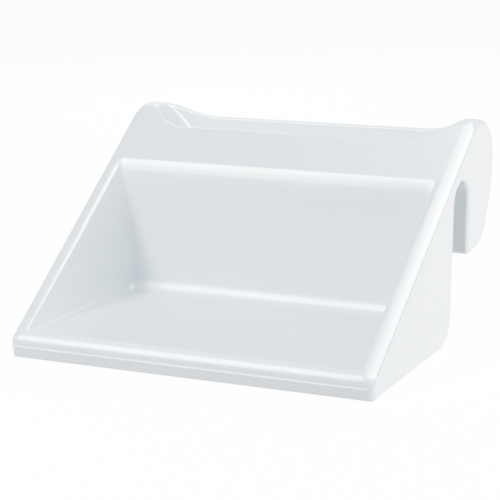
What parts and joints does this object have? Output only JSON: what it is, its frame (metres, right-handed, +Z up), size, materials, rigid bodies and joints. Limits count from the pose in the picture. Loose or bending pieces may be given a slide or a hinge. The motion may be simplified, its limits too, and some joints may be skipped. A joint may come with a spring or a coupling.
{
  "type": "balcony table",
  "caption": "Moulded table that hooks over a balcony railing, with a sunken tabletop between slanted cheeks, a planter trough in its head, and clamp screws in its rear flap.",
  "frame": {"origin": "top of the rail slot's arch in the middle of the table, where it rests on its railing", "axes": "+X across the table to a user's right, +Y away from the user towards the outside of the balcony, +Z up"},
  "size_m": [0.6, 0.5552, 0.329],
  "materials": {
    "shell": "satin off-white polyethylene with a fine moulded grain",
    "plug": "satin polyethylene",
    "insert": "turned",
    "stud": "bright zinc plate",
    "knob": "satin moulded plastic",
    "foot": "satin moulded plastic",
    "pad": "dull"
  },
  "bodies": {
    "root": {"table_body": "shell", "vent_plug": "plug", "thread_insert_left": "insert", "thread_insert_right": "insert"},
    "foot_left": {"swivel_foot_left": "foot", "rail_pad_left": "pad"},
    "foot_right": {"swivel_foot_right": "foot", "rail_pad_right": "pad"},
    "screw_left": {"clamp_stud_left": "stud", "hand_knob_left": "knob"},
    "screw_right": {"clamp_stud_right": "stud", "hand_knob_right": "knob"}
  },
  "joints": [
    {"name": "clamp_travel_left", "type": "slide", "parent": "root", "child": "foot_left", "axis": [0, -1, 0], "range_m": [0, 0.03]},
    {"name": "clamp_turn_left", "type": "hinge", "parent": "foot_left", "child": "screw_left", "pos_m": [-0.18, 0.0355, -0.0775], "axis": [0, -1, 0], "range_deg": [0, 7200]},
    {"name": "clamp_travel_right", "type": "slide", "parent": "root", "child": "foot_right", "axis": [0, -1, 0], "range_m": [0, 0.03]},
    {"name": "clamp_turn_right", "type": "hinge", "parent": "foot_right", "child": "screw_right", "pos_m": [0.18, 0.0355, -0.0775], "axis": [0, -1, 0], "range_deg": [0, 7200]}
  ],
  "couplings": [
    {"joint": "clamp_travel_left", "follows": "clamp_turn_left", "m_per_rad": 0.00023873},
    {"joint": "clamp_travel_right", "follows": "clamp_turn_right", "m_per_rad": 0.00023873}
  ]
}
